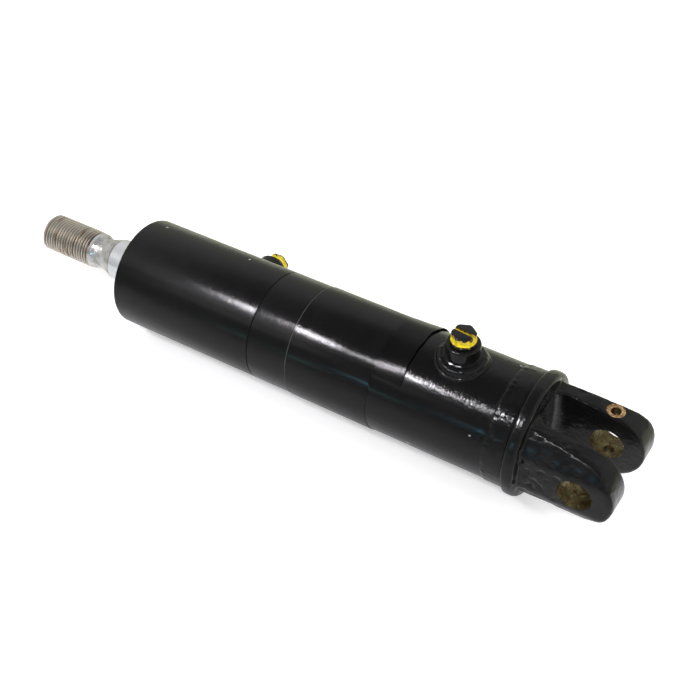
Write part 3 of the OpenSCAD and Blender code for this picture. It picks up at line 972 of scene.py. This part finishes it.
def make_gland(steel):
    """The gland's turned body. Its grooves hold the CAD seals."""
    x0, x1 = gland_lo.x / MM, gland_hi.x / MM
    face_x, r, nose_r = x0 + 7, gland_hi.z / MM, 24.5
    guide, mouth = ROD_R / MM + 0.08, ROD_R / MM + 2.6
    wiper = (x0 + 2, x0 + 8, ROD_R / MM + 5.5)
    seal = (face_x + 13, face_x + 21.5, ROD_R / MM + 5)
    wear = (face_x + 29, face_x + 41, ROD_R / MM + 2.5)
    static = (face_x + 34.5, face_x + 40.5, r - 3.5)
    outline = rounded([
        (x0, mouth, 0.3), (x0, nose_r, 0.8), (face_x, nose_r, 0.4), (face_x, r, 0.4),
        (static[0], r, 0.15), (static[0], static[2], 0.3),
        (static[1], static[2], 0.3), (static[1], r, 0.15),
        (x1, r, 0.8), (x1, guide, 0.3),
        (wear[1], guide, 0.1), (wear[1], wear[2], 0.1), (wear[0], wear[2], 0.1), (wear[0], guide, 0.1),
        (seal[1], guide, 0.1), (seal[1], seal[2], 0.1), (seal[0], seal[2], 0.1), (seal[0], guide, 0.1),
        (wiper[1], guide, 0.1), (wiper[1], wiper[2], 0.1), (wiper[0], wiper[2], 0.1),
        (wiper[0], mouth, 0.1)], 3)
    gland = new_piece("gland_body", lathe_mesh("gland_body", outline, 192), [steel])
    finish_piece(gland, "barrel", "turned_steel", "head_gland")


def make_wiper(urethane):
    """Scraper whose lip leans out along the rod."""
    x0, x1 = wiper_lo.x / MM + 1.6, wiper_hi.x / MM
    inner, outer = ROD_R / MM + 0.04, wiper_hi.z / MM
    outline = rounded([
        (x0 - 1.6, inner, 0.05), (x0 - 1.6, inner + 0.5, 0.15), (x0, inner + 1.9, 0.5), (x0, outer, 0.3),
        (x1, outer, 0.3), (x1, inner + 1.2, 0.3), (x0 + 2.4, inner + 1.2, 0.3), (x0 + 1, inner, 0.2)], 4)
    wiper = new_piece("wiper_lip", lathe_mesh("wiper_lip", outline, 192), [urethane])
    finish_piece(wiper, "barrel", "blue_urethane", "rod_wiper")


# Pieces that keep their CAD shape

def dress_inner_pieces():
    finishes = {
        "gland_snap_ring": dull_solid("spring_steel", (0.10, 0.10, 0.105), 0.4, 0.8),
        "gland_o_ring": dull_solid("nitrile", (0.018, 0.018, 0.018), 0.5),
        "gland_backup_ring": dull_solid("white_ptfe", (0.80, 0.80, 0.76), 0.45),
        "rod_seal": blue_urethane,
        "gland_wear_ring": dull_solid("wear_band", (0.20, 0.10, 0.045), 0.6, grain=1400, relief=0.00012),
        "stop_tube": turned_steel("stop_tube_steel", (0.50, 0.50, 0.51), 0.3),
        "piston": dull_solid("piston_iron", (0.30, 0.30, 0.31), 0.38, 0.9, grain=1100),
        "piston_seal": dull_solid("dark_ptfe", (0.05, 0.05, 0.055), 0.42),
        "piston_nut": dull_solid("nut_steel", (0.12, 0.12, 0.125), 0.42, 0.85)}
    finishes["piston_wear_rings"] = finishes["gland_wear_ring"]
    finishes["piston_o_ring"] = finishes["gland_o_ring"]
    for node, material in finishes.items():
        part = frame["nodes"][node]
        if not part.material_slots:
            part.data.materials.append(material)
        for slot in part.material_slots:
            slot.material = material


# Floor and light

FLOOR_Z = clevis_lo.z - 0.0005


def stage_piece(name, corners, material):
    """A flat four-cornered sheet that belongs to the studio."""
    mesh = bpy.data.meshes.new(name)
    mesh.from_pydata([tuple(c) for c in corners], [], [(0, 1, 2, 3)])
    mesh.materials.append(material)
    sheet = placed(name, mesh)
    return sheet


def hide_from(thing, *rays):
    for ray in rays:
        setattr(thing, f"visible_{ray}", False)


def make_floor():
    paint = Finish("pale_floor")
    paint.put("Base Color", (0.90, 0.90, 0.90, 1))
    paint.put("Roughness", 0.9)
    paint.put("Specular IOR Level", 0.0)
    paint.put("Emission Color", (1, 1, 1, 1))
    paint.put("Emission Strength", 0.42)
    reach = 6
    stage_piece("floor", [(-reach, -reach, FLOOR_Z), (reach, -reach, FLOOR_Z), (reach, reach, FLOOR_Z),
                          (-reach, reach, FLOOR_Z)], paint.material)


def make_walls():
    """Pale walls that only the camera sees. Light and gloss pass through them."""
    paint = Finish("pale_wall")
    paint.put("Base Color", (0, 0, 0, 1))
    paint.put("Specular IOR Level", 0)
    paint.put("Emission Color", (1, 1, 1, 1))
    paint.put("Emission Strength", 0.85)
    out, top = 5.9, 7.0
    corners = [(-out, -out), (out, -out), (out, out), (-out, out)]
    for i, (x, y) in enumerate(corners):
        next_x, next_y = corners[(i + 1) % 4]
        wall = stage_piece(f"wall_{i + 1}", [
            (x, y, FLOOR_Z), (next_x, next_y, FLOOR_Z), (next_x, next_y, top), (x, y, top)],
            paint.material)
        hide_from(wall, "diffuse", "glossy", "shadow", "transmission")


def card_material(name, shade, cover):
    """A plain card. Cover is a list of (near y, far y, alpha) steps that add up away from the cylinder."""
    card = Finish(name)
    card.put("Base Color", (*shade, 1))
    card.put("Roughness", 1)
    card.put("Specular IOR Level", 0)
    y = card.axis(1)
    alpha = 0.0
    for near_y, far_y, share in cover:
        alpha = card.add(card.span(y, near_y, far_y, 0, share), alpha)
    card.put("Alpha", alpha)
    return card.material


def make_cards():
    """Cards that only gloss sees: on the floor in front, standing beyond that, and on the floor behind. They
    paint reflections: the grey cards are painted shade on the floor's reflection in front, and the straw card
    tints and dims it behind.
    """
    low, x0, x1 = FLOOR_Z + 0.001, -2.4, 0.9
    # Painted shade in reflections: the grey card darkens the floor seen in gloss, more away from the
    # cylinder.
    front = card_material("reflected_shade_card", (0.20, 0.20, 0.20), [
        (0.0, -0.02, 0.56), (-0.04, -0.075, 0.19), (-0.11, -0.30, 0.19)])
    back = card_material("reflected_tint_card", (0.32, 0.34, 0.15), [(0.045, 0.120, 0.70)])
    near_y, far_y, lean_y, top = 0.005, -1.3, -1.3 - 0.1, 1.25
    behind_y0, behind_y1 = 0.04, 3.0
    for name, material, corners in (
            ("front_card", front, [(x0, far_y, low), (x1, far_y, low), (x1, near_y, low), (x0, near_y, low)]),
            ("tall_card", front, [(x0, far_y, low), (x1, far_y, low), (x1, lean_y, top), (x0, lean_y, top)]),
            ("back_card", back, [(-4, behind_y0, low), (3, behind_y0, low), (3, behind_y1, low),
                                 (-4, behind_y1, low)])):
        hide_from(stage_piece(name, corners, material), "camera", "diffuse", "shadow", "transmission")


def make_soft_light(name, place, size, radiance, colour=(1, 1, 1), turn=0, in_gloss=True):
    """A rectangular light that faces the cylinder's middle, turned in its own plane by so many degrees."""
    middle = Vector((-0.19, 0, 0))
    out = (Vector(place) - middle).normalized()
    data = bpy.data.lights.new(name, "AREA")
    data.shape = "RECTANGLE"
    data.size, data.size_y = size
    data.energy = radiance * math.pi * size[0] * size[1]
    data.color = colour
    light = placed(name, data)
    level = Vector((1, 0, 0))
    side = (level - out * level.dot(out)).normalized()
    facing = Matrix((side, out.cross(side), out)).transposed().to_4x4()
    spun = Matrix.Rotation(math.radians(turn), 4, "Z")
    light.matrix_world = Matrix.Translation(Vector(place)) @ facing @ spun
    light.visible_camera = False
    light.visible_glossy = in_gloss


def ramp_of(tree, value, low, high, to_low, to_high):
    return add_node(tree, "ShaderNodeMapRange", {
        "Value": value, "From Min": low, "From Max": high, "To Min": to_low, "To Max": to_high},
        interpolation_type="SMOOTHSTEP").outputs["Result"]


def make_world():
    """White walls, a little warm behind the cylinder, under a dark ceiling."""
    world = bpy.data.worlds.new("studio")
    bpy.context.scene.world = world
    world.use_nodes = True
    tree = world.node_tree
    direction = add_node(tree, "ShaderNodeTexCoord").outputs["Generated"]
    rise = add_node(tree, "ShaderNodeSeparateXYZ", {0: direction}).outputs["Z"]
    sky = tree.nodes["Background"].inputs
    feed(tree, sky["Strength"], ramp_of(tree, rise, 0.66, 0.93, 0.47, 0.15))
    warmth = ramp_of(tree, rise, 0.55, 0.15, 0, 1)
    tint = add_node(tree, "ShaderNodeMix", {0: warmth, 6: (1, 1, 1, 1), 7: (0.83, 0.85, 0.73, 1)},
                    data_type="RGBA")
    feed(tree, sky["Color"], tint.outputs[2])


def make_light():
    make_world()
    make_soft_light("key", (-0.645, -0.625, 0.927), (0.24, 0.085), 88, (1, 0.975, 1.03), turn=-48)
    make_soft_light("key_bridge", (-0.47, -0.745, 0.845), (0.20, 0.08), 0.4, (0.97, 0.96, 1.05))
    make_soft_light("key_tail", (-0.295, -0.66, 0.90), (0.10, 0.06), 22, (0.97, 0.96, 1.05))
    make_soft_light("key_edge", (-0.205, -0.64, 0.92), (0.12, 0.05), 60)
    make_soft_light("halo", (-0.80, -0.79, 0.82), (0.50, 0.30), 0.6, (1, 0.985, 1.03))
    make_soft_light("low_halo", (-0.83, -0.96, 0.60), (0.55, 0.25), 0.45)
    make_soft_light("fill", (0.95, 0.35, 1.35), (2.0, 2.0), 2.2, in_gloss=False)
    make_soft_light("teal_lamp", (-0.27, -0.95, 0.22), (0.14, 0.03), 7, (0.25, 0.75, 1.00))
    make_soft_light("teal_card", (-0.58, -0.92, 0.045), (0.16, 0.08), 1.2, (0.25, 0.85, 0.68))
    scene = bpy.context.scene
    scene.view_settings.view_transform = "Standard"
    scene.view_settings.look = "None"
    scene.view_settings.exposure = 0


make_camera()
make_floor()
make_walls()
make_cards()
make_light()

black_tube = tube_enamel()
# Painted shade for the score groove: darker and duller than the tube's enamel.
groove_shade_black = matte("groove_shade_black", (0.0015, 0.0015, 0.0015), 0.8)
black_cast = enamel("cast_enamel", 0.15, 0.45)
boss_paint = enamel("boss_enamel", 0.09, 0.08)
weld_paint = enamel("weld_enamel", 0.10, 0.5)
film = label_film("label_film", 0.08, 0.5)
dull_film = label_film("tail_film", 0.10, 0.26)
bore_metal = bare_bore()
spot_metal = brassy_ring()
turned_bore = turned_steel("oiled_bore", (0.30, 0.30, 0.30), 0.3)
thread_metal = thread_steel()
plug_yellow = yellow_plastic()
blue_urethane = dull_solid("blue_urethane", (0.03, 0.09, 0.33), 0.35)

make_tube(black_tube)
make_clevis(black_cast, bore_metal, spot_metal)
beads = weld_tree()
make_girth_weld(beads)
make_port_weld(beads, "base_port", "base_port_weld", "base_boss_weld", 2)
make_port_weld(beads, "head_port", "head_port_weld", "head_boss_weld", 3)
make_boss("base_port", "base_port_boss", "base_boss", boss_paint)
make_boss("head_port", "head_port_boss", "head_boss", boss_paint)
make_plug("base_port", "base_port_plug", "base_plug_yellow", -6, "base_plug", plug_yellow)
make_plug("head_port", "head_port_plug", "head_plug_yellow", 25, "head_plug", plug_yellow)
make_rod(chrome(), neck_steel(THREAD_END + 0.0035, FULL_ROD_X))
# The cut edge's grey band is a painted sheen of the film's edge catching light.
make_label(film, matte("cut_edge_sheen", (0.060, 0.060, 0.058), 0.6))
make_label_tail(dull_film)
make_gland(turned_steel("gland_steel", (0.55, 0.55, 0.56), 0.25))
make_wiper(blue_urethane)
dress_inner_pieces()
